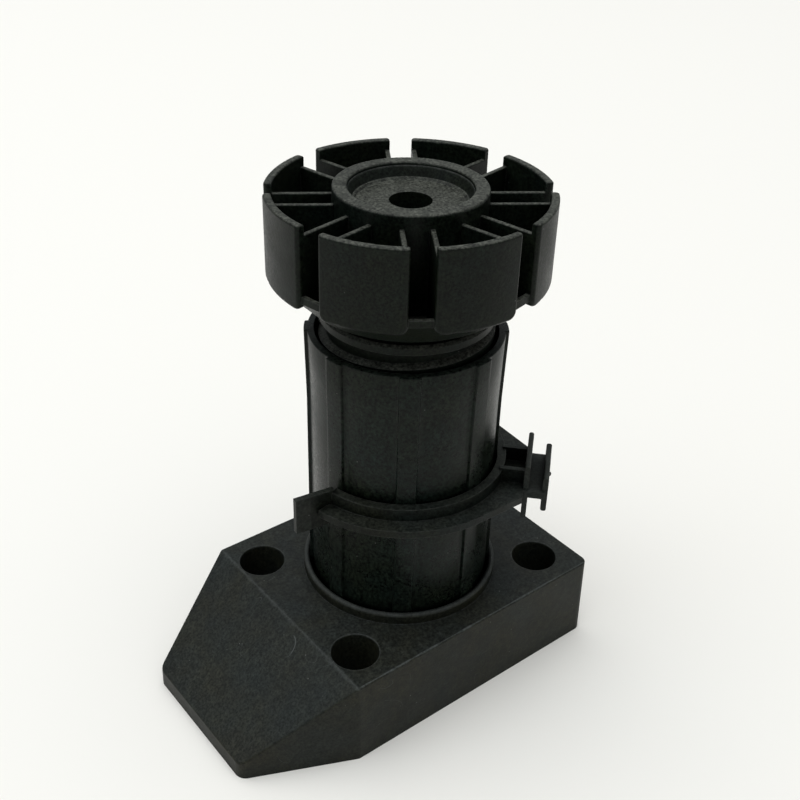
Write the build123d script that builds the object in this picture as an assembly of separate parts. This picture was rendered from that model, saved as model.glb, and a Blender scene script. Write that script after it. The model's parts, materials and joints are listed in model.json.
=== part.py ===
from build123d import *
import os
from math import ceil, cos, floor, hypot, radians, sin

# An adjustable plinth leg for a kitchen cabinet, moulded in black plastic, in millimetres.
# It stands on its mounting plate, with the ribbed foot on top. In use it hangs the other way
# up: the plate is screwed under the cabinet and the foot stands on the floor.
# The leg's axis is Z, the plate's cabinet face is Z = 0, and the plate's nose points to -X.

# Mounting plate
PLATE_HEIGHT = 23.6
PLATE_END_X = 40.95
PLATE_HALF_WIDTH = 31.85
SIDE_DRAFT = 1.2
CREASE_X = -36.5
NOSE_X = -63.0
NOSE_HALF_WIDTH = 19.7
NOSE_HEIGHT = 4.6
END_CORNER_RADIUS = 2.6
CREASE_CORNER_RADIUS = 1.6
NOSE_CORNER_RADIUS = 3.0
PLATE_EDGE_RADIUS = 0.6
PLATE_SIDE_WALL = 2.4
PLATE_TOP_WALL = 2.8
RIB_PITCH = 11.8
RIB_THICKNESS = 1.4

SCREW_SPACING_X = 60.0
SCREW_SPACING_Y = 42.0
RECESS_RADIUS = 5.85
RECESS_FLOOR_Z = 3.0
RECESS_EDGE_RADIUS = 0.35
SCREW_HOLE_RADIUS = 2.3
BOSS_RADIUS = 7.8

SOCKET_WALL = 1.6
SOCKET_FLOOR = 3.0
SOCKET_LIP_HEIGHT = 2.9
SOCKET_LIP_ROUNDING = 0.77

# Leg tube
TUBE_BASE_RADIUS = 22.95
BAND_RADIUS = 23.75
BAND_WIDTH = 4.7
BAND_COUNT = 8
BAND_PHASE = 8.6
TUBE_BOTTOM_Z = 3.1
TUBE_TOP_Z = 94.6
FLARE_START_Z = 76.0
FLARE = 0.43
BORE_RADIUS = 21.3
MOUTH_RADIUS = 21.7
MOUTH_DEPTH = 5.0
TUBE_EDGE = 0.25

# Radial clearance between the leg tube and the socket or the clip, and of the plug in its ring
FIT_CLEARANCE = 0.08

# Construction: how far joined shapes run into each other, how far cutting shapes reach past the
# part, how closely an edge's height and radius are matched when it is picked for rounding, and
# the slope, as a sine, beyond which an edge counts as upright
SINK = 0.3
REACH = 20.0
MATCH = 0.01
UPRIGHT = 0.9

# Screw thread between the tube and the foot
THREAD_PITCH = 6.0
THREAD_ROOT_WIDTH = 3.4
THREAD_TIP_WIDTH = 1.9
STEM_CREST_RADIUS = 20.8
STEM_ROOT_RADIUS = 18.9
STEM_BORE_RADIUS = 16.6
TUBE_CREST_RADIUS = 19.4
THREAD_END_GAP = 0.8
TUBE_THREAD_BOTTOM_Z = 62.0
TUBE_THREAD_TOP_Z = 88.0
STEM_BOTTOM_Z = 52.0
COLLAR_BOTTOM_Z = 98.4
COLLAR_TOP_Z = 100.7
COLLAR_RADIUS = 20.75
COLLAR_BEVEL = 0.7
NECK_RADIUS = 19.1

# Adjusting foot
RIM_RADIUS = 32.5
RIM_INNER_RADIUS = 30.6
RIM_TOP_Z = 129.0
RIM_BOTTOM_Z = 109.5
RIM_EDGE_RADIUS = 0.5
ARC_EDGE_RADIUS = 0.9
ARC_CORNER_RADIUS = 2.0
SLOT_COUNT = 8
SLOT_PHASE = 11.0
SLOT_WIDTH = 5.3
FOOT_RIB_THICKNESS = 1.2
FOOT_RIB_TOP_Z = 126.6
FOOT_RIB_ROUNDING = 0.35
DISC_RADIUS = 31.7
DISC_TOP_Z = 112.9
DISC_EDGE_Z = 111.3
SHOULDER_RADIUS = 24.2
SHOULDER_Z = 103.8
DISC_FLOOR_Z = 106.4
BOWL_RADIUS = 23.2
HUB_RADIUS = 17.45
HUB_BORE_RADIUS = 14.05
HUB_TOP_Z = 129.65
HUB_EDGE_RADIUS = 0.6

# Hub plug, the round centre of the foot with the hole through it
PLUG_FLOOR_Z = 126.1
PLUG_STEP_RADIUS = 12.6
PLUG_RIM_Z = 128.95
PLUG_RIM_FOOT_RADIUS = 12.95
PLUG_STEP = 0.45
PLUG_THICKNESS = 2.6
PLUG_HOLE_RADIUS = 4.85
PLUG_SLEEVE_RADIUS = 7.0
PLUG_SLEEVE_LENGTH = 9.0

# Plinth clip: a C-ring with a level shelf, flared ends and an H-rail for the plinth board
CLIP_Z = 55.9
CLIP_ANGLE = 312.5
CLIP_HEIGHT = 9.6
CLIP_RING_HEIGHT = 8.4
CLIP_WALL = 2.2
CLIP_OPENING_ANGLE = 122.0
SHELF_RADIUS = 30.0
SHELF_THICKNESS = 1.9
SHELF_CORNER_X = 31.2
SHELF_CORNER_Y = 10.8
RAIL_INNER_X = 31.1
RAIL_INNER_THICKNESS = 1.3
RAIL_INNER_HEIGHT = 15.3
RAIL_OUTER_X = 35.75
RAIL_OUTER_THICKNESS = 1.4
RAIL_OUTER_HEIGHT = 9.7
RAIL_WIDTH = 15.4
RAIL_ROUNDING = 0.6
WEB_WIDTH = 16.6
CLIP_RIB_OFFSET = 4.65
CLIP_RIB_THICKNESS = 1.2
LUG_ROOT = (-13.2, 21.2)
LUG_TIP = (-21.1, 27.6)
LUG_THICKNESS = 1.5


def spread(count, phase):
    """The directions of count equal steps round the leg's axis, from the angle phase."""
    return [phase + 360 * step / count for step in range(count)]


def ring(outer_radius, inner_radius, bottom_z, top_z):
    """An upright tube round the leg's axis."""
    height = top_z - bottom_z
    middle = Pos(0, 0, (bottom_z + top_z) / 2)
    return middle * (Cylinder(outer_radius, height) - Cylinder(inner_radius, height))


def disc(radius, bottom_z, top_z):
    """An upright cylinder on the leg's axis."""
    return Pos(0, 0, (bottom_z + top_z) / 2) * Cylinder(radius, top_z - bottom_z)


def block(low, high):
    """A box from its low corner to its high corner."""
    size = [high[axis] - low[axis] for axis in range(3)]
    centre = [(high[axis] + low[axis]) / 2 for axis in range(3)]
    return Pos(*centre) * Box(*size)


def turned(*profile):
    """A body of revolution about Z, from (radius, height) corners."""
    face = make_face(Plane.XZ * Polyline(*profile, close=True))
    return revolve(face, Axis.Z)


def helical_ridge(base_radius, tip_radius, bottom_z, top_z, rise):
    """One right-handed ridge between two radii, cut level at both ends.

    The middle of the ridge crosses the +X direction at the height rise, and at every pitch from it.
    """
    middle_radius = (base_radius + tip_radius) / 2
    first_turn = floor((bottom_z - rise) / THREAD_PITCH) - 1
    turns = ceil((top_z - bottom_z) / THREAD_PITCH) + 3
    path = Helix(pitch=THREAD_PITCH, height=turns * THREAD_PITCH, radius=middle_radius)
    base = base_radius - middle_radius
    tip = tip_radius - middle_radius
    corners = [
        (base, -THREAD_ROOT_WIDTH / 2),
        (tip, -THREAD_TIP_WIDTH / 2),
        (tip, THREAD_TIP_WIDTH / 2),
        (base, THREAD_ROOT_WIDTH / 2),
    ]
    across = Plane(origin=path @ 0, x_dir=(1, 0, 0), z_dir=path % 0)
    section = across * make_face(Polyline(*corners, close=True))
    ridge = Pos(0, 0, rise + first_turn * THREAD_PITCH) * sweep(section, path=path, is_frenet=True)
    return ridge & disc(RIM_RADIUS, bottom_z, top_z)


def plate_outline(inset):
    """The plate's plan: a rectangle whose -X end narrows to a nose, drawn in by inset."""
    corners = [
        (PLATE_END_X, -PLATE_HALF_WIDTH),
        (PLATE_END_X, PLATE_HALF_WIDTH),
        (CREASE_X, PLATE_HALF_WIDTH),
        (NOSE_X, NOSE_HALF_WIDTH),
        (NOSE_X, -NOSE_HALF_WIDTH),
        (CREASE_X, -PLATE_HALF_WIDTH),
    ]
    face = make_face(Polyline(*corners, close=True))
    if inset:
        return offset(face, -inset)
    for corner_x, radius in (
        (NOSE_X, NOSE_CORNER_RADIUS),
        (CREASE_X, CREASE_CORNER_RADIUS),
        (PLATE_END_X, END_CORNER_RADIUS),
    ):
        corners = [corner for corner in face.vertices() if abs(corner.X - corner_x) < MATCH]
        face = fillet(corners, radius)
    return face


def plate_prism(inset, drop):
    """The plate's wedge-nosed block with slightly drafted sides, drawn in by inset all round.

    Its top is lowered by drop.
    """
    top_z = PLATE_HEIGHT - drop
    slope = (PLATE_HEIGHT - NOSE_HEIGHT) / (CREASE_X - NOSE_X)
    over_ramp = Polyline(
        (CREASE_X, top_z),
        (NOSE_X - REACH, NOSE_HEIGHT - drop - slope * REACH),
        (NOSE_X - REACH, top_z + REACH),
        (CREASE_X, top_z + REACH),
        close=True,
    )
    cut = extrude(make_face(Plane.XZ * over_ramp), PLATE_HALF_WIDTH + REACH, both=True)
    return extrude(plate_outline(inset), top_z, taper=SIDE_DRAFT) - cut


def screw_places():
    """The plan positions of the four screws."""
    return [
        (side_x * SCREW_SPACING_X / 2, side_y * SCREW_SPACING_Y / 2)
        for side_x in (-1, 1)
        for side_y in (-1, 1)
    ]


def grid_lines(limit):
    """Rib positions at the rib pitch, from -limit to limit, with one at 0."""
    steps = floor(limit / RIB_PITCH)
    return [RIB_PITCH * step for step in range(-steps, steps + 1)]


def mounting_plate():
    """The plate that is screwed to the cabinet: hollow and ribbed below, with the tube's socket."""
    socket_radius = BAND_RADIUS + FIT_CLEARANCE
    shell = plate_prism(0, 0)
    upper = [
        edge
        for edge in shell.edges()
        if edge.center().Z > NOSE_HEIGHT - MATCH and abs(edge.tangent_at(0.5).Z) < UPRIGHT
    ]
    shell = fillet(upper, PLATE_EDGE_RADIUS)

    hollow = plate_prism(PLATE_SIDE_WALL, PLATE_TOP_WALL)
    half = RIB_THICKNESS / 2
    for x in grid_lines(-NOSE_X):
        hollow -= block((x - half, -PLATE_HALF_WIDTH, 0), (x + half, PLATE_HALF_WIDTH, PLATE_HEIGHT))
    for y in grid_lines(PLATE_HALF_WIDTH):
        hollow -= block((NOSE_X, y - half, 0), (PLATE_END_X, y + half, PLATE_HEIGHT))
    for x, y in screw_places():
        hollow -= Pos(x, y) * disc(BOSS_RADIUS, 0, PLATE_HEIGHT)
    hollow -= disc(socket_radius + SOCKET_WALL, 0, PLATE_HEIGHT)
    plate = shell - hollow

    for x, y in screw_places():
        plate -= Pos(x, y) * disc(RECESS_RADIUS, RECESS_FLOOR_Z, PLATE_HEIGHT)
        plate -= Pos(x, y) * disc(SCREW_HOLE_RADIUS, 0, RECESS_FLOOR_Z)
    mouths = [
        edge
        for edge in plate.edges().filter_by(GeomType.CIRCLE)
        if abs(edge.radius - RECESS_RADIUS) < MATCH and abs(edge.center().Z - PLATE_HEIGHT) < MATCH
    ]
    plate = fillet(mouths, RECESS_EDGE_RADIUS)

    lip_top = PLATE_HEIGHT + SOCKET_LIP_HEIGHT
    plate += disc(socket_radius + SOCKET_WALL, PLATE_HEIGHT - PLATE_TOP_WALL, lip_top)
    plate -= disc(socket_radius, SOCKET_FLOOR, lip_top)
    lip_edges = [
        edge
        for edge in plate.edges().filter_by(GeomType.CIRCLE)
        if abs(edge.center().Z - lip_top) < MATCH
    ]
    return fillet(lip_edges, SOCKET_LIP_ROUNDING)


def tube_skin(radius):
    """The tube's solid outside: straight, then slightly flared towards its open mouth."""
    return turned(
        (0, TUBE_BOTTOM_Z),
        (radius - TUBE_EDGE, TUBE_BOTTOM_Z),
        (radius, TUBE_BOTTOM_Z + TUBE_EDGE),
        (radius, FLARE_START_Z),
        (radius + FLARE, TUBE_TOP_Z - TUBE_EDGE),
        (radius + FLARE - TUBE_EDGE, TUBE_TOP_Z),
        (0, TUBE_TOP_Z),
    )


def leg_tube():
    """The tube: eight raised bands outside, and the thread for the foot inside."""
    banded = tube_skin(BAND_RADIUS)
    tube = tube_skin(TUBE_BASE_RADIUS)
    for angle in spread(BAND_COUNT, BAND_PHASE):
        reach = block((0, -BAND_WIDTH / 2, 0), (RIM_RADIUS, BAND_WIDTH / 2, TUBE_TOP_Z))
        tube += banded & (Rot(0, 0, angle) * reach)
    tube -= disc(BORE_RADIUS, 0, TUBE_TOP_Z)
    tube -= turned(
        (0, TUBE_TOP_Z - MOUTH_DEPTH),
        (BORE_RADIUS, TUBE_TOP_Z - MOUTH_DEPTH),
        (MOUTH_RADIUS, TUBE_TOP_Z),
        (0, TUBE_TOP_Z),
    )
    thread = helical_ridge(
        BORE_RADIUS + SINK,
        TUBE_CREST_RADIUS,
        TUBE_THREAD_BOTTOM_Z,
        TUBE_THREAD_TOP_Z,
        THREAD_PITCH / 2,
    )
    return tube + thread


def rim_wall():
    """The foot's round rim, cut into eight arcs by the slots.

    The arcs are soft outside, with rounded lower corners, and crisper along their tops.
    """
    wall = ring(RIM_RADIUS, RIM_INNER_RADIUS, RIM_BOTTOM_Z, RIM_TOP_Z)
    for angle in spread(SLOT_COUNT, SLOT_PHASE):
        half = SLOT_WIDTH / 2
        slot = block((0, -half, RIM_BOTTOM_Z), (RIM_RADIUS + REACH, half, RIM_TOP_Z))
        wall -= Rot(0, 0, angle) * slot
    lower_corners = [
        edge
        for edge in wall.edges().filter_by(GeomType.LINE)
        if edge.bounding_box().max.Z < RIM_BOTTOM_Z + MATCH
    ]
    wall = fillet(lower_corners, ARC_CORNER_RADIUS)
    outside = [
        edge
        for edge in wall.edges()
        if edge.center().Z < RIM_TOP_Z - MATCH
        and all(abs(hypot(end.X, end.Y) - RIM_RADIUS) < MATCH for end in edge.vertices())
    ]
    wall = fillet(outside, ARC_EDGE_RADIUS)
    top_edges = [edge for edge in wall.edges() if edge.bounding_box().min.Z > RIM_TOP_Z - MATCH]
    return fillet(top_edges, RIM_EDGE_RADIUS)


def foot_bowl():
    """The foot's conical floor, its shoulder over the tube's mouth, its neck, collar and stem."""
    return turned(
        (STEM_BORE_RADIUS, STEM_BOTTOM_Z),
        (STEM_ROOT_RADIUS, STEM_BOTTOM_Z),
        (STEM_ROOT_RADIUS, COLLAR_BOTTOM_Z),
        (COLLAR_RADIUS, COLLAR_BOTTOM_Z),
        (COLLAR_RADIUS, COLLAR_TOP_Z - COLLAR_BEVEL),
        (COLLAR_RADIUS - COLLAR_BEVEL, COLLAR_TOP_Z),
        (NECK_RADIUS, COLLAR_TOP_Z),
        (NECK_RADIUS, SHOULDER_Z),
        (SHOULDER_RADIUS, SHOULDER_Z),
        (DISC_RADIUS, DISC_EDGE_Z),
        (DISC_RADIUS, DISC_TOP_Z),
        (RIM_INNER_RADIUS, DISC_TOP_Z),
        (BOWL_RADIUS, DISC_FLOOR_Z),
        (STEM_BORE_RADIUS, DISC_FLOOR_Z),
    )


def hub_ring():
    """The upright ring in the middle of the foot, which stands a little proud of the rim."""
    hub = ring(HUB_RADIUS, HUB_BORE_RADIUS, SHOULDER_Z, HUB_TOP_Z)
    top_edges = hub.edges().filter_by(lambda edge: edge.center().Z > HUB_TOP_Z - MATCH)
    return fillet(top_edges, HUB_EDGE_RADIUS)


def adjusting_foot():
    """The screw-in foot: a slotted rim on a conical floor, paired ribs, a hub ring and a stem."""
    foot = foot_bowl() + hub_ring() + rim_wall()
    under_floor = turned(
        (0, 0),
        (SHOULDER_RADIUS, 0),
        (SHOULDER_RADIUS, SHOULDER_Z + SINK),
        (DISC_RADIUS, DISC_EDGE_Z + SINK),
        (DISC_RADIUS + REACH, DISC_EDGE_Z + SINK),
        (DISC_RADIUS + REACH, 0),
    )
    for angle in spread(SLOT_COUNT, SLOT_PHASE):
        for side in (-1, 1):
            near = side * SLOT_WIDTH / 2
            far = near + side * FOOT_RIB_THICKNESS
            rib = block(
                (HUB_RADIUS - SINK, min(near, far), SHOULDER_Z + SINK),
                (RIM_INNER_RADIUS + SINK, max(near, far), FOOT_RIB_TOP_Z),
            )
            rib = fillet(rib.edges().filter_by(Axis.X).group_by(Axis.Z)[-1], FOOT_RIB_ROUNDING)
            foot += Rot(0, 0, angle) * rib - under_floor
    thread = helical_ridge(
        STEM_ROOT_RADIUS - SINK,
        STEM_CREST_RADIUS,
        STEM_BOTTOM_Z + THREAD_END_GAP,
        COLLAR_BOTTOM_Z - THREAD_END_GAP,
        0,
    )
    return foot + thread


def hub_plug():
    """The round centre of the foot: a steep-sided stepped dish with a hole through a short sleeve."""
    radius = HUB_BORE_RADIUS - FIT_CLEARANCE
    under_z = PLUG_FLOOR_Z - PLUG_THICKNESS
    return turned(
        (PLUG_HOLE_RADIUS, under_z - PLUG_SLEEVE_LENGTH),
        (PLUG_SLEEVE_RADIUS, under_z - PLUG_SLEEVE_LENGTH),
        (PLUG_SLEEVE_RADIUS, under_z),
        (radius, under_z),
        (radius, PLUG_RIM_Z),
        (PLUG_RIM_FOOT_RADIUS, PLUG_FLOOR_Z + PLUG_STEP),
        (PLUG_STEP_RADIUS, PLUG_FLOOR_Z + PLUG_STEP),
        (PLUG_STEP_RADIUS - PLUG_STEP, PLUG_FLOOR_Z),
        (PLUG_HOLE_RADIUS, PLUG_FLOOR_Z),
    )


def upright_plate(start, end, thickness, height):
    """A flat wall on edge between two plan points, centred on the height 0."""
    length = ((end[0] - start[0]) ** 2 + (end[1] - start[1]) ** 2) ** 0.5
    direction = (end[0] - start[0], end[1] - start[1], 0)
    middle = ((start[0] + end[0]) / 2, (start[1] + end[1]) / 2, 0)
    return Plane(origin=middle, x_dir=direction, z_dir=(0, 0, 1)) * Box(length, thickness, height)


def clip_shelf():
    """The clip's level shelf, uncut: round, and widened in straight lines to the rail's corners."""
    corner = (SHELF_CORNER_X, SHELF_CORNER_Y)
    outline = make_hull([
        *CenterArc((0, 0), SHELF_RADIUS, 0, 360).edges(),
        *Line(corner, (SHELF_CORNER_X, -SHELF_CORNER_Y)).edges(),
    ])
    return extrude(outline, SHELF_THICKNESS / 2, both=True)


def clip_rail():
    """The H-rail: two upright flanges joined by a level web, and two ribs back to the ring."""
    inner_end = RAIL_INNER_X + RAIL_INNER_THICKNESS
    outer_end = RAIL_OUTER_X + RAIL_OUTER_THICKNESS
    half_width = RAIL_WIDTH / 2
    half_web = WEB_WIDTH / 2
    half_shelf = SHELF_THICKNESS / 2
    ring_outside = BAND_RADIUS + FIT_CLEARANCE + CLIP_WALL / 2
    inner_flange = block(
        (RAIL_INNER_X, -half_width, -RAIL_INNER_HEIGHT / 2),
        (inner_end, half_width, RAIL_INNER_HEIGHT / 2),
    )
    outer_flange = block(
        (RAIL_OUTER_X, -half_width, -RAIL_OUTER_HEIGHT / 2),
        (outer_end, half_width, RAIL_OUTER_HEIGHT / 2),
    )
    rail = fillet(inner_flange.edges().filter_by(Axis.Y), RAIL_ROUNDING)
    rail += fillet(outer_flange.edges().filter_by(Axis.Y), RAIL_ROUNDING)
    rail += block((RAIL_INNER_X, -half_web, -half_shelf), (outer_end - SINK, half_web, half_shelf))
    for side in (-1, 1):
        rail += upright_plate(
            (ring_outside, side * CLIP_RIB_OFFSET),
            (RAIL_INNER_X + SINK, side * CLIP_RIB_OFFSET),
            CLIP_RIB_THICKNESS,
            CLIP_HEIGHT,
        )
    return rail


def plinth_clip():
    """The spring clip that snaps round the tube and holds the plinth board by its rail."""
    inner_radius = BAND_RADIUS + FIT_CLEARANCE
    outer_radius = inner_radius + CLIP_WALL
    wall = Cylinder(outer_radius, CLIP_RING_HEIGHT)
    far = 2 * SHELF_RADIUS
    edge_x = far * cos(radians(CLIP_OPENING_ANGLE))
    edge_y = far * sin(radians(CLIP_OPENING_ANGLE))
    mouth = Polyline(
        (0, 0),
        (edge_x, edge_y),
        (-far, edge_y),
        (-far, -edge_y),
        (edge_x, -edge_y),
        close=True,
    )
    clip = wall + clip_shelf() - extrude(make_face(mouth), CLIP_HEIGHT, both=True)
    clip += clip_rail()
    for side in (-1, 1):
        root = (LUG_ROOT[0], side * LUG_ROOT[1])
        tip = (LUG_TIP[0], side * LUG_TIP[1])
        clip += upright_plate(root, tip, LUG_THICKNESS, CLIP_HEIGHT)
    clip -= Cylinder(inner_radius, CLIP_HEIGHT * 2)
    return Pos(0, 0, CLIP_Z) * Rot(0, 0, CLIP_ANGLE) * clip


NODES = {
    "mounting_plate": mounting_plate,
    "leg_tube": leg_tube,
    "adjusting_foot": adjusting_foot,
    "hub_plug": hub_plug,
    "plinth_clip": plinth_clip,
}

os.makedirs("parts", exist_ok=True)
for name, build in NODES.items():
    piece = build()
    piece.label = name
    export_step(piece, f"parts/{name}.step")
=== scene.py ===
import json
from math import cos, radians, sin

import bmesh
import bpy
from mathutils import Matrix, Vector
from mathutils.noise import noise


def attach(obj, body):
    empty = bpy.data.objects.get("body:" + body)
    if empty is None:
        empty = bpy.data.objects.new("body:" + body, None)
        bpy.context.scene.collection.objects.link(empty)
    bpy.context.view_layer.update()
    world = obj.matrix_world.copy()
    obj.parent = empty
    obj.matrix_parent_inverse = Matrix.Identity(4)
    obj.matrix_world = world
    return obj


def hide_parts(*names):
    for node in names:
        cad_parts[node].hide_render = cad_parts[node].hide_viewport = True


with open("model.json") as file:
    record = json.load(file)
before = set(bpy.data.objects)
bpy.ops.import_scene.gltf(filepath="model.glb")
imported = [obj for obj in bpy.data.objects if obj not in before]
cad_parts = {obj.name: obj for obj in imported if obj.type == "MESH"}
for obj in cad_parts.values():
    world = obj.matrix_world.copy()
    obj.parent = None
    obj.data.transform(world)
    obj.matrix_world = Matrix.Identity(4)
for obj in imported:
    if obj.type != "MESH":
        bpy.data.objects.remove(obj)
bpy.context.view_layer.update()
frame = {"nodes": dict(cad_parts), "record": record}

# An adjustable cabinet leg in black moulded plastic, standing on its mounting plate.
# Lengths are in metres, apart from the section on the tube, which is in millimetres.
# Angles are in degrees.

MM = 0.001


# Materials ------------------------------------------------------------------------------------

# Where the marks are: the plate's upper edges, its lip, crease and recesses, the clip's rail,
# and the scratch on the ramp.
PLATE_TOP = 23.6 * MM
LIP_TOP = 26.5 * MM
CREASE_X = -36.5 * MM
LONG_EDGE_Y = 31.05 * MM
END_EDGE_X = 40.15 * MM
RECESS_CENTRE = (30 * MM, 21 * MM)
MOUTH_RIM_RADIUS = 6.05 * MM
RAIL_START = 31.0 * MM
SCRATCH_CENTRE = (-41.33 * MM, -6.39 * MM)
SCRATCH_RADIUS = 3.08 * MM

# How large the plastic's patches and flaws are.
TONE_PATCH = 24 * MM
TINT_PATCH = 15 * MM
GLOSS_PATCH = 11 * MM
DUST_AND_TOP_LIGHT_PATCH = 5 * MM
WORN_CORNER = 0.6 * MM
WORN_PATCH = 1.6 * MM
HAIRLINE_BEND = 17 * MM
HAIRLINE_STRETCH = (1, 1.7, 1)
HAIRLINE_TURN = (0, 0, 31)
HAIRLINE_LEVELS = 9.0
HAIRLINE_PATCH = 9 * MM
HAIRLINE_DEPTH = 0.01 * MM
SPECK_SPACING = 2.6 * MM
SPECK_COLOUR = (0.20, 0.20, 0.19)
# How far the painted shade in recesses reaches.
SHADE_REACH = 9 * MM
SOFT_CORNER = 0.22 * MM
SINK_SIZE = 8 * MM
SINK_DEPTH = 0.06 * MM


class Graph:
    """The nodes of a material or a world, with short ways to add and join them."""

    def __init__(self, owner, shader, space):
        owner.use_nodes = True
        self.tree = owner.node_tree
        self.shader = self.tree.nodes[shader]
        self.place = self.add("ShaderNodeTexCoord").outputs[space]

    def add(self, kind, **settings):
        node = self.tree.nodes.new(kind)
        for name, value in settings.items():
            setattr(node, name, value)
        return node

    def join(self, socket, value):
        """Links a socket to another, or sets a plain value on it."""
        if isinstance(value, bpy.types.NodeSocket):
            self.tree.links.new(value, socket)
        else:
            socket.default_value = value

    def feed(self, node, name, value):
        self.join(node.inputs[name], value)

    def moved(self, scale, turn):
        """The object's coordinates, stretched and turned."""
        node = self.add("ShaderNodeMapping")
        self.feed(node, "Vector", self.place)
        self.feed(node, "Scale", scale)
        self.feed(node, "Rotation", [radians(angle) for angle in turn])
        return node.outputs["Vector"]

    def noise(self, size, detail=2.0, rough=0.5, warp=0.0, where=None):
        """Smooth noise whose features are about size metres across."""
        node = self.add("ShaderNodeTexNoise")
        self.feed(node, "Vector", where or self.place)
        self.feed(node, "Scale", 1 / size)
        self.feed(node, "Detail", detail)
        self.feed(node, "Roughness", rough)
        self.feed(node, "Distortion", warp)
        return node.outputs["Fac"]

    def ramp(self, value, low, high, to_low=0.0, to_high=1.0, smooth=False):
        """value carried from low..high to to_low..to_high, held at both ends."""
        kind = "SMOOTHSTEP" if smooth else "LINEAR"
        node = self.add("ShaderNodeMapRange", interpolation_type=kind)
        self.feed(node, "From Min", low)
        self.feed(node, "From Max", high)
        self.feed(node, "To Min", to_low)
        self.feed(node, "To Max", to_high)
        self.feed(node, "Value", value)
        return node.outputs["Result"]

    def math(self, operation, first, second=0.0):
        node = self.add("ShaderNodeMath", operation=operation)
        for socket, value in zip(node.inputs, (first, second)):
            self.join(socket, value)
        return node.outputs["Value"]

    def times(self, first, *others):
        """Numbers multiplied together."""
        for other in others:
            first = self.math("MULTIPLY", first, other)
        return first

    def most(self, first, *others):
        """The largest of some numbers."""
        for other in others:
            first = self.math("MAXIMUM", first, other)
        return first

    def apart(self, first, second):
        """How far two numbers are from each other."""
        return self.math("ABSOLUTE", self.math("SUBTRACT", first, second))

    def blend(self, amount, first, second):
        """A colour between first and second."""
        node = self.add("ShaderNodeMix", data_type="RGBA")
        self.feed(node, "Factor", amount)
        for name, value in (("A", first), ("B", second)):
            plain = not isinstance(value, bpy.types.NodeSocket)
            self.feed(node, name, (*value, 1) if plain else value)
        return node.outputs["Result"]

    def shade(self, colour, level):
        """A colour multiplied by a number."""
        node = self.add("ShaderNodeMix", data_type="RGBA", blend_type="MULTIPLY")
        self.feed(node, "Factor", 1.0)
        self.feed(node, "A", colour)
        self.feed(node, "B", level)
        return node.outputs["Result"]

    def bump(self, height, depth, under):
        """The normal of a relief laid over the normal under it."""
        node = self.add("ShaderNodeBump")
        self.feed(node, "Height", height)
        self.feed(node, "Distance", depth)
        self.feed(node, "Normal", under)
        return node.outputs["Normal"]

    def axes(self, vector):
        """The X, Y and Z of a vector."""
        node = self.add("ShaderNodeSeparateXYZ")
        self.feed(node, "Vector", vector)
        return [node.outputs[axis] for axis in "XYZ"]

    def edges(self, width):
        """0 on flat ground, rising towards 1 within width of a corner."""
        node = self.add("ShaderNodeBevel", samples=6)
        self.feed(node, "Radius", width)
        plain = self.add("ShaderNodeNewGeometry").outputs["True Normal"]
        product = self.add("ShaderNodeVectorMath", operation="DOT_PRODUCT")
        self.join(product.inputs[0], node.outputs["Normal"])
        self.join(product.inputs[1], plain)
        return self.math("SUBTRACT", 1.0, product.outputs["Value"])

    def openness(self, reach):
        """1 in the open, falling towards 0 where walls stand close within reach."""
        node = self.add("ShaderNodeAmbientOcclusion", samples=8)
        self.feed(node, "Distance", reach)
        return node.outputs["AO"]


def no_marks(g):
    """For a piece without marks of its own."""
    return 0.0


def worn_line(g, away, half_width, waver, strength):
    """A line that rubbing has worn pale, fading out unevenly within about half_width of it."""
    width = g.ramp(g.noise(waver, 3, 0.6), 0.35, 0.65, half_width * 0.4, half_width * 1.6)
    line = g.ramp(g.math("DIVIDE", away, width), 0.0, 1.0, 1.0, 0.0, smooth=True)
    broken = g.ramp(g.noise(0.9 * MM, 3, 0.7), 0.3, 0.65, 0.15, 1.0)
    return g.times(line, broken, strength)


def from_centre(g, x, y, centre):
    """How far a place is from an upright axis."""
    off_x = g.math("SUBTRACT", x, centre[0])
    off_y = g.math("SUBTRACT", y, centre[1])
    return g.math("SQRT", g.math("ADD", g.times(off_x, off_x), g.times(off_y, off_y)))


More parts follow.
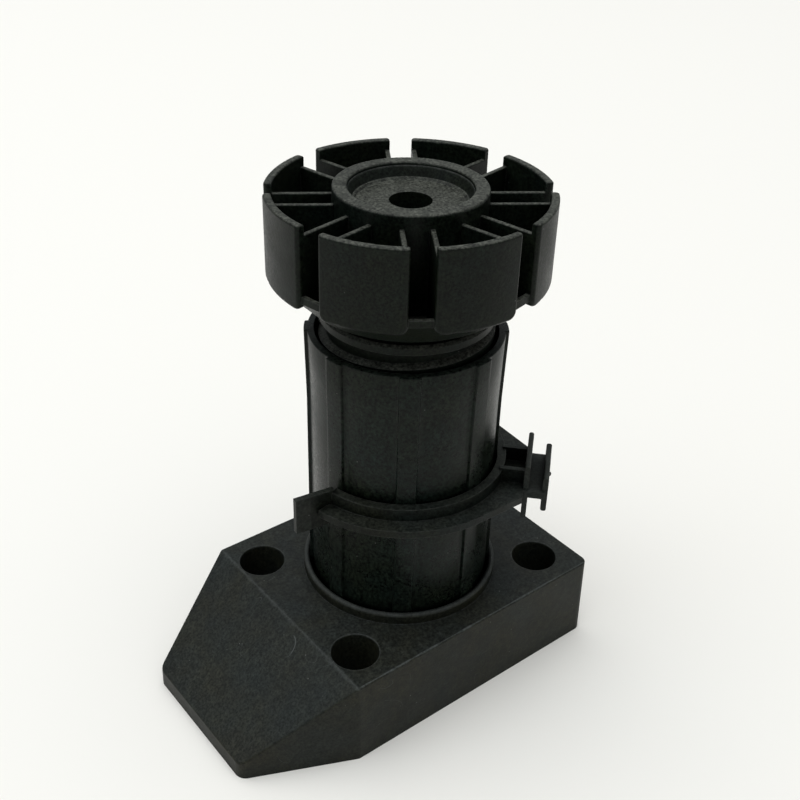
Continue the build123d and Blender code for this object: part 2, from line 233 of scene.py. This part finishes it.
def plate_marks(g):
    """The plate's worn crease, upper edges, recess mouths and lip, and a curved scratch."""
    x, y, z = g.axes(g.place)
    side_x = g.math("ABSOLUTE", x)
    side_y = g.math("ABSOLUTE", y)
    from_recess = from_centre(g, side_x, side_y, RECESS_CENTRE)
    edge = {"half_width": 0.26 * MM, "waver": 4 * MM, "strength": 0.95}
    crease = worn_line(g, g.apart(x, CREASE_X), half_width=0.75 * MM, waver=3 * MM, strength=0.45)
    long_edge = worn_line(g, g.apart(side_y, LONG_EDGE_Y), **edge)
    long_edge = g.times(long_edge, g.ramp(x, CREASE_X, CREASE_X + 1 * MM))
    end_edge = worn_line(g, g.apart(x, END_EDGE_X), **edge)
    mouth = g.apart(from_recess, MOUTH_RIM_RADIUS)
    mouth = worn_line(g, mouth, half_width=0.22 * MM, waver=5 * MM, strength=0.5)
    on_top = g.ramp(z, PLATE_TOP - 0.6 * MM, PLATE_TOP - 0.35 * MM)
    marks = g.times(g.most(crease, long_edge, end_edge, mouth), on_top)

    lip = g.ramp(z, LIP_TOP - 0.9 * MM, LIP_TOP - 0.1 * MM)
    lip = g.times(lip, g.ramp(g.noise(2.2 * MM, 3, 0.7), 0.3, 0.7, 0.10, 0.45))

    # The scratch is the part of a circle that lies towards +X and -Y from its centre.
    centre_x, centre_y = SCRATCH_CENTRE
    off = g.apart(from_centre(g, x, y, SCRATCH_CENTRE), SCRATCH_RADIUS)
    scratch = g.times(
        g.ramp(off, 0.05 * MM, 0.16 * MM, 1.0, 0.0),
        g.ramp(x, centre_x - 0.9 * MM, centre_x + 0.6 * MM),
        g.ramp(y, centre_y - 0.9 * MM, centre_y + 0.4 * MM, 1.0, 0.0),
        0.9,
    )
    return g.most(marks, lip, scratch)


def clip_marks(g):
    """The clip's rail, rubbed by the plinth boards that slid on it."""
    x, y, _ = g.axes(g.place)
    rail = g.ramp(from_centre(g, x, y, (0, 0)), RAIL_START, RAIL_START + 0.5 * MM)
    return g.times(rail, g.ramp(g.noise(1.3 * MM, 4, 0.7), 0.3, 0.7, 0.02, 0.34))


def moulded_plastic(
    name,
    colour,
    pale,
    roughness,
    ior,
    grain_size,
    grain_depth,
    mottle,
    scratches,
    wear,
    dust_and_top_light,
    dust_and_top_light_colour,
    marks,
):
    """Black moulded plastic: grain, slow sinks, patchy gloss, rubbed edges, scratches, dust with
    painted light on faces turned up, and painted shade in recesses.
    """
    material = bpy.data.materials.new(name)
    g = Graph(material, "Principled BSDF", "Object")

    # Slow variation of tone, tint and gloss over the moulding.
    tone = g.ramp(g.noise(TONE_PATCH, 3), 0.35, 0.65, 0.88, 1.14)
    tint = g.ramp(g.noise(TINT_PATCH, 3, 0.6), 0.35, 0.65)
    dull = g.ramp(g.noise(GLOSS_PATCH, 4, 0.6), 0.3, 0.7)
    cool = [colour[0] * 0.92, colour[1], colour[2] * 1.18]
    warm = [colour[0] * 1.12, colour[1], colour[2] * 0.86]
    base = g.shade(g.blend(tint, cool, warm), tone)

    # Light dust on faces turned up, and painted light there too: faces turned up are made paler,
    # standing in for the stronger light that falls on them.
    up = g.axes(g.add("ShaderNodeNewGeometry").outputs["Normal"])[2]
    patchy = g.ramp(g.noise(DUST_AND_TOP_LIGHT_PATCH, 4, 0.7), 0.25, 0.7, 0.4, 1.0)
    dusted_and_top_lit = g.times(g.ramp(up, 0.35, 0.95), patchy, dust_and_top_light)
    base = g.blend(dusted_and_top_lit, base, dust_and_top_light_colour)

    # The grain's light and dark points.
    point = g.ramp(g.noise(grain_size * 1.5, 2, 0.7), 0.34, 0.66)
    blot = g.ramp(g.noise(grain_size * 4.5, 2, 0.6), 0.34, 0.66)
    base = g.shade(base, g.ramp(point, 0, 1, 1 - mottle, 1 + mottle))
    base = g.shade(base, g.ramp(blot, 0, 1, 0.8, 1.2))

    # Rubbed corners, broken up by noise.
    rubbed = g.ramp(g.edges(WORN_CORNER), 0.03, 0.25)
    patchy = g.ramp(g.noise(WORN_PATCH, 4, 0.7), 0.36, 0.6)
    worn = g.most(g.times(rubbed, patchy, wear), marks(g))
    base = g.blend(worn, base, pale)

    # Hairline scratches: thin level lines of a slow noise, kept only in some places.
    level = g.noise(HAIRLINE_BEND, 1, 0.4, 0.6, g.moved(HAIRLINE_STRETCH, HAIRLINE_TURN))
    line = g.apart(g.math("FRACT", g.times(level, HAIRLINE_LEVELS)), 0.5)
    here = g.ramp(g.noise(HAIRLINE_PATCH, 2, 0.5), 0.56, 0.66)
    scratch = g.times(g.ramp(line, 0.0, 0.012, 1.0, 0.0), here, scratches)
    base = g.blend(g.times(scratch, 0.55), base, pale)

    # Sparse pale specks.
    cells = g.add("ShaderNodeTexVoronoi")
    g.feed(cells, "Vector", g.place)
    g.feed(cells, "Scale", 1 / SPECK_SPACING)
    speck = g.ramp(cells.outputs["Distance"], 0.04, 0.07, 1.0, 0.0)
    chosen = g.add("ShaderNodeSeparateColor")
    g.feed(chosen, "Color", cells.outputs["Color"])
    speck = g.times(speck, g.ramp(chosen.outputs["Red"], 0.72, 0.80), 0.4)
    base = g.blend(speck, base, SPECK_COLOUR)

    # Painted shade: recesses, gaps and places beside other parts are darkened in colour and in
    # reflection, the more the closer walls stand within reach; worn places are left out.
    painted_shade_factor = g.most(worn, g.ramp(g.openness(SHADE_REACH), 0.08, 0.64, 0.06, 1.0))
    g.feed(g.shader, "Base Color", g.shade(base, painted_shade_factor))
    g.feed(g.shader, "Specular IOR Level", g.times(painted_shade_factor, 0.5))

    # Worn places are duller, and the hairlines shine.
    rough = g.ramp(dull, 0, 1, roughness - 0.05, roughness + 0.05)
    rough = g.math("ADD", rough, g.ramp(point, 0, 1, -0.06, 0.06))
    rough = g.math("ADD", rough, g.times(worn, 0.12))
    rough = g.math("SUBTRACT", rough, g.times(scratch, 0.12))
    g.feed(g.shader, "Roughness", rough)

    # Relief: soft corners, slow sinks, scratches and the fine moulded grain.
    soft = g.add("ShaderNodeBevel", samples=6)
    g.feed(soft, "Radius", SOFT_CORNER)
    relief = g.bump(g.noise(SINK_SIZE, 2), SINK_DEPTH, soft.outputs["Normal"])
    relief = g.bump(scratch, -HAIRLINE_DEPTH, relief)
    coarse = g.times(g.noise(grain_size * 3.1, 2), 0.6)
    grain = g.math("ADD", g.noise(grain_size, 2, 0.6), coarse)
    g.feed(g.shader, "Normal", g.bump(grain, grain_depth, relief))
    g.feed(g.shader, "IOR", ior)
    return material


PLASTICS = {
    "plate_plastic": dict(
        colour=(0.0112, 0.0126, 0.0086),
        pale=(0.070, 0.075, 0.072),
        roughness=0.50,
        ior=1.25,
        grain_size=0.42 * MM,
        grain_depth=0.026 * MM,
        mottle=0.58,
        scratches=1.0,
        wear=0.75,
        dust_and_top_light=0.14,
        dust_and_top_light_colour=(0.040, 0.046, 0.055),
        marks=plate_marks,
    ),
    "tube_plastic": dict(
        colour=(0.0046, 0.0074, 0.0050),
        pale=(0.030, 0.034, 0.031),
        roughness=0.33,
        ior=1.225,
        grain_size=0.52 * MM,
        grain_depth=0.034 * MM,
        mottle=0.92,
        scratches=0.3,
        wear=0.10,
        dust_and_top_light=0.15,
        dust_and_top_light_colour=(0.044, 0.048, 0.045),
        marks=no_marks,
    ),
    "foot_plastic": dict(
        colour=(0.0040, 0.0062, 0.0038),
        pale=(0.055, 0.058, 0.053),
        roughness=0.42,
        ior=1.212,
        grain_size=0.42 * MM,
        grain_depth=0.030 * MM,
        mottle=0.75,
        scratches=0.3,
        wear=0.60,
        dust_and_top_light=1.0,
        dust_and_top_light_colour=(0.062, 0.063, 0.053),
        marks=no_marks,
    ),
    "clip_plastic": dict(
        colour=(0.0066, 0.0086, 0.0064),
        pale=(0.055, 0.058, 0.052),
        roughness=0.46,
        ior=1.21,
        grain_size=0.42 * MM,
        grain_depth=0.022 * MM,
        mottle=0.65,
        scratches=0.2,
        wear=0.55,
        dust_and_top_light=0.25,
        dust_and_top_light_colour=(0.048, 0.050, 0.043),
        marks=clip_marks,
    ),
}
MATERIALS = {name: moulded_plastic(name, **look) for name, look in PLASTICS.items()}

for part in frame["record"]["subparts"]:
    node = frame["nodes"][part["node"]]
    node.data.materials.clear()
    node.data.materials.append(MATERIALS[part["material_slot"]])


# Leg tube and the clip's gate mark ------------------------------------------------------------
# Millimetres in this section, as in the CAD. The meshes are scaled to metres when they are made.

TUBE_BASE = 22.95
BAND_HEIGHT = 0.8
BAND_HALF_WIDTH = 2.35
BAND_FLANK = 0.16
BAND_COUNT = 8
BAND_PHASE = 8.6
BAND_PITCH = 360 / BAND_COUNT
SKIN_PER_DEGREE = (TUBE_BASE + BAND_HEIGHT / 2) * radians(1)
TUBE_BOTTOM = 3.1
TUBE_TOP = 94.6
FLARE_START = 76.0
FLARE = 0.43
TUBE_EDGE = 0.25
EDGE_CUT = 0.29 * TUBE_EDGE  # how far in the middle of a rounded edge lies
BORE = 21.3
MOUTH = 21.7
MOUTH_DEPTH = 5.0
THREAD_PITCH = 6.0
THREAD_START = 3.0
THREAD_DEPTH = 1.9
THREAD_HALF_ROOT = 1.7
THREAD_HALF_TIP = 0.95
THREAD_BOTTOM = 62.0
THREAD_TOP = 88.0
THREAD_STEP = 0.3
THREAD_END = 0.03

# How many steps the mesh takes over half a band's top, half a flank and half the gap between
# two bands.
TOP_STEPS = 3
FLANK_STEPS = 4
GAP_STEPS = 5

# Edges that turn by more than this many degrees are shaded sharp.
SHARP_FROM = 40

CLIP_ANGLE = 312.5
GATE_PLACE = (37.1, -2.2, 58.4)
GATE_REACH = 0.42
GATE_WIDTH = 1.3
GATE_HEIGHT = 1.1
GATE_LUMP = 0.35
GATE_LUMPINESS = 2.3


def tube_angles():
    """The directions of the tube's upright mesh lines, close together at the bands' flanks."""
    top = [BAND_HALF_WIDTH * step / TOP_STEPS for step in range(1, TOP_STEPS)]
    flank = [
        BAND_HALF_WIDTH + BAND_FLANK * step / FLANK_STEPS
        for step in range(-FLANK_STEPS, FLANK_STEPS + 1)
    ]
    middle = BAND_PITCH / 2 * SKIN_PER_DEGREE
    gap = [flank[-1] + (middle - flank[-1]) * step / GAP_STEPS for step in range(1, GAP_STEPS)]
    half = top + flank + gap
    offsets = sorted([0] + half + [-offset for offset in half] + [middle])
    return [
        BAND_PHASE + BAND_PITCH * band + offset / SKIN_PER_DEGREE
        for band in range(BAND_COUNT)
        for offset in offsets
    ]


def band_rise(angle):
    """How far the tube's skin stands above its base radius in this direction."""
    turned = (angle - BAND_PHASE + BAND_PITCH / 2) % BAND_PITCH - BAND_PITCH / 2
    across = abs(turned) * SKIN_PER_DEGREE
    t = min(max((BAND_HALF_WIDTH + BAND_FLANK - across) / (2 * BAND_FLANK), 0), 1)
    return BAND_HEIGHT * t * t * (3 - 2 * t)


def thread_rise(angle, z):
    """How far the thread stands in from the bore at this place."""
    if not THREAD_BOTTOM <= z <= THREAD_TOP:
        return 0
    turn = THREAD_PITCH * angle / 360 + THREAD_START
    away = abs((z - turn + THREAD_PITCH / 2) % THREAD_PITCH - THREAD_PITCH / 2)
    slope = (THREAD_HALF_ROOT - away) / (THREAD_HALF_ROOT - THREAD_HALF_TIP)
    return THREAD_DEPTH * min(max(slope, 0), 1)


def tube_rows(angle):
    """The tube's closed outline in one direction, up the outside and down the bore."""
    skin = TUBE_BASE + band_rise(angle)
    flared = skin + FLARE
    rows = [
        (skin - TUBE_EDGE, TUBE_BOTTOM),
        (skin - EDGE_CUT, TUBE_BOTTOM + EDGE_CUT),
        (skin, TUBE_BOTTOM + TUBE_EDGE),
        (skin, FLARE_START),
        (skin + FLARE / 2, (FLARE_START + TUBE_TOP) / 2),
        (flared, TUBE_TOP - TUBE_EDGE),
        (flared - EDGE_CUT, TUBE_TOP - EDGE_CUT),
        (flared - TUBE_EDGE, TUBE_TOP),
        (MOUTH + TUBE_EDGE / 2, TUBE_TOP),
        (MOUTH, TUBE_TOP - TUBE_EDGE / 2),
        (BORE, TUBE_TOP - MOUTH_DEPTH),
        (BORE, THREAD_TOP + THREAD_END),
    ]
    steps = round((THREAD_TOP - THREAD_BOTTOM) / THREAD_STEP)
    for step in range(steps + 1):
        z = THREAD_TOP - (THREAD_TOP - THREAD_BOTTOM) * step / steps
        rows.append((BORE - thread_rise(angle, z), z))
    rows.append((BORE, THREAD_BOTTOM - THREAD_END))
    rows.append((BORE, TUBE_BOTTOM))
    return rows


def placed(name, data):
    """A new object in the scene."""
    thing = bpy.data.objects.new(name, data)
    bpy.context.collection.objects.link(thing)
    return thing


def finished(name, mesh, material):
    """An object for a mesh: smooth shading, with a crisp edge wherever it turns sharply."""
    for face in mesh.polygons:
        face.use_smooth = True
    mesh.set_sharp_from_angle(angle=radians(SHARP_FROM))
    mesh.materials.append(material)
    return placed(name, mesh)


def banded_tube():
    """The leg tube, with soft-flanked bands, a rounded mouth and its inner thread."""
    angles = tube_angles()
    points = []
    for angle in angles:
        outline = tube_rows(angle)
        rows = len(outline)
        for radius, z in outline:
            x = radius * cos(radians(angle))
            y = radius * sin(radians(angle))
            points.append(Vector((x, y, z)) * MM)
    faces = []
    for column in range(len(angles)):
        following = (column + 1) % len(angles)
        for row in range(rows):
            above = (row + 1) % rows
            faces.append((
                column * rows + row,
                following * rows + row,
                following * rows + above,
                column * rows + above,
            ))
    mesh = bpy.data.meshes.new("banded_tube")
    mesh.from_pydata(points, [], faces)
    return finished("banded_tube", mesh, MATERIALS["tube_plastic"])


def gate_mark():
    """The small torn stub that the moulding gate left on the clip's outer flange."""
    mesh = bpy.data.meshes.new("gate_mark")
    shape = bmesh.new()
    bmesh.ops.create_icosphere(shape, subdivisions=3, radius=1)
    for point in shape.verts:
        lump = 1 + GATE_LUMP * noise(point.co * GATE_LUMPINESS)
        along, across, up = point.co * lump
        point.co = (along * GATE_REACH, across * GATE_WIDTH / 2, up * GATE_HEIGHT / 2)
    shape.to_mesh(mesh)
    shape.free()
    turn = Matrix.Rotation(radians(CLIP_ANGLE), 4, "Z")
    mesh.transform(Matrix.Scale(MM, 4) @ turn @ Matrix.Translation(GATE_PLACE))
    return finished("gate_mark", mesh, MATERIALS["clip_plastic"])


gate = gate_mark()
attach(gate, "clip")

tube = banded_tube()
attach(tube, "leg")
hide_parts("leg_tube")


# Camera: close above the leg, looking down on the plate's nose and one long side -------------

AIM = Vector((0, 0.0016, 0.0731))
CAMERA_DISTANCE = 0.2744
CAMERA_AZIMUTH = -129.15
CAMERA_ELEVATION = 32.4
CAMERA_ROLL = 1.76
CAMERA_LENS = 50.1
SENSOR_WIDTH = 36
NEAREST_SEEN = 0.01


def direction(azimuth, elevation):
    """The unit vector towards an azimuth and elevation."""
    flat = cos(radians(elevation))
    return Vector((
        flat * cos(radians(azimuth)),
        flat * sin(radians(azimuth)),
        sin(radians(elevation)),
    ))


camera_data = bpy.data.cameras.new("camera")
camera_data.lens = CAMERA_LENS
camera_data.sensor_width = SENSOR_WIDTH
camera_data.clip_start = NEAREST_SEEN
camera = placed("camera", camera_data)
out = direction(CAMERA_AZIMUTH, CAMERA_ELEVATION)
turn = out.to_track_quat("Z", "Y").to_matrix().to_4x4()
roll = Matrix.Rotation(radians(CAMERA_ROLL), 4, "Z")
camera.matrix_world = Matrix.Translation(AIM + CAMERA_DISTANCE * out) @ turn @ roll
bpy.context.scene.camera = camera


# Studio: a pale floor and backdrop, a sky brighter overhead, and two soft lights --------------

FLOOR_HALF = 4.0
PAPER_COLOUR = (0.887, 0.848, 0.800, 1)
PAPER_ROUGHNESS = 0.9
SKY_LOW = 0.34  # the sky's strength at the horizon
SKY_HIGH = 2.3  # and overhead
SKY_CURVE = 4  # the higher, the later it rises between them
BACKDROP_COLOUR = (0.885, 0.878, 0.822, 1)
SKY_COLOUR = (0.94, 0.985, 1.0, 1)
KEY_DISTANCE = 2.6
KEY_SIZE = 2.2
KEY_POWER = 14
KEY_AZIMUTH = 125
KEY_ELEVATION = 66
KEY_COLOUR = (1.0, 1.0, 1.0)
FILL_DISTANCE = 1.6
FILL_SIZE = 0.9
FILL_POWER = 1.8
FILL_AZIMUTH = 165
FILL_ELEVATION = 38
FILL_COLOUR = (0.72, 0.88, 1.0)

floor_mesh = bpy.data.meshes.new("floor")
corners = ((-1, -1), (1, -1), (1, 1), (-1, 1))
floor_corners = [(x * FLOOR_HALF, y * FLOOR_HALF, 0) for x, y in corners]
floor_mesh.from_pydata(floor_corners, [], [(0, 1, 2, 3)])
floor_sheet = placed("floor", floor_mesh)
paper = bpy.data.materials.new("paper")
g = Graph(paper, "Principled BSDF", "Object")
g.feed(g.shader, "Base Color", PAPER_COLOUR)
g.feed(g.shader, "Roughness", PAPER_ROUGHNESS)
floor_mesh.materials.append(paper)

# The sky lights the leg, and the camera sees an even backdrop in its place.
world = bpy.data.worlds.new("world")
bpy.context.scene.world = world
sky = Graph(world, "Background", "Generated")
height = sky.math("MAXIMUM", sky.axes(sky.place)[2], 0.0)
strength = sky.ramp(sky.math("POWER", height, SKY_CURVE), 0.0, 1.0, SKY_LOW, SKY_HIGH)
sky.feed(sky.shader, "Color", SKY_COLOUR)
sky.feed(sky.shader, "Strength", strength)
backdrop = sky.add("ShaderNodeBackground")
sky.feed(backdrop, "Color", BACKDROP_COLOUR)
seen = sky.add("ShaderNodeMixShader")
sky.feed(seen, "Fac", sky.add("ShaderNodeLightPath").outputs["Is Camera Ray"])
sky.join(seen.inputs[1], sky.shader.outputs["Background"])
sky.join(seen.inputs[2], backdrop.outputs["Background"])
sky.feed(sky.tree.nodes["World Output"], "Surface", seen.outputs["Shader"])
bpy.context.scene.view_settings.view_transform = "Standard"


def soft_light(name, azimuth, elevation, distance, size, power, colour):
    """A square area light that faces the leg from a direction."""
    data = bpy.data.lights.new(name, "AREA")
    data.size = size
    data.energy = power
    data.color = colour
    light = placed(name, data)
    away = direction(azimuth, elevation)
    facing = away.to_track_quat("Z", "Y").to_matrix().to_4x4()
    light.matrix_world = Matrix.Translation(AIM + distance * away) @ facing


soft_light("key", KEY_AZIMUTH, KEY_ELEVATION, KEY_DISTANCE, KEY_SIZE, KEY_POWER, KEY_COLOUR)
soft_light("fill", FILL_AZIMUTH, FILL_ELEVATION, FILL_DISTANCE, FILL_SIZE, FILL_POWER, FILL_COLOUR)
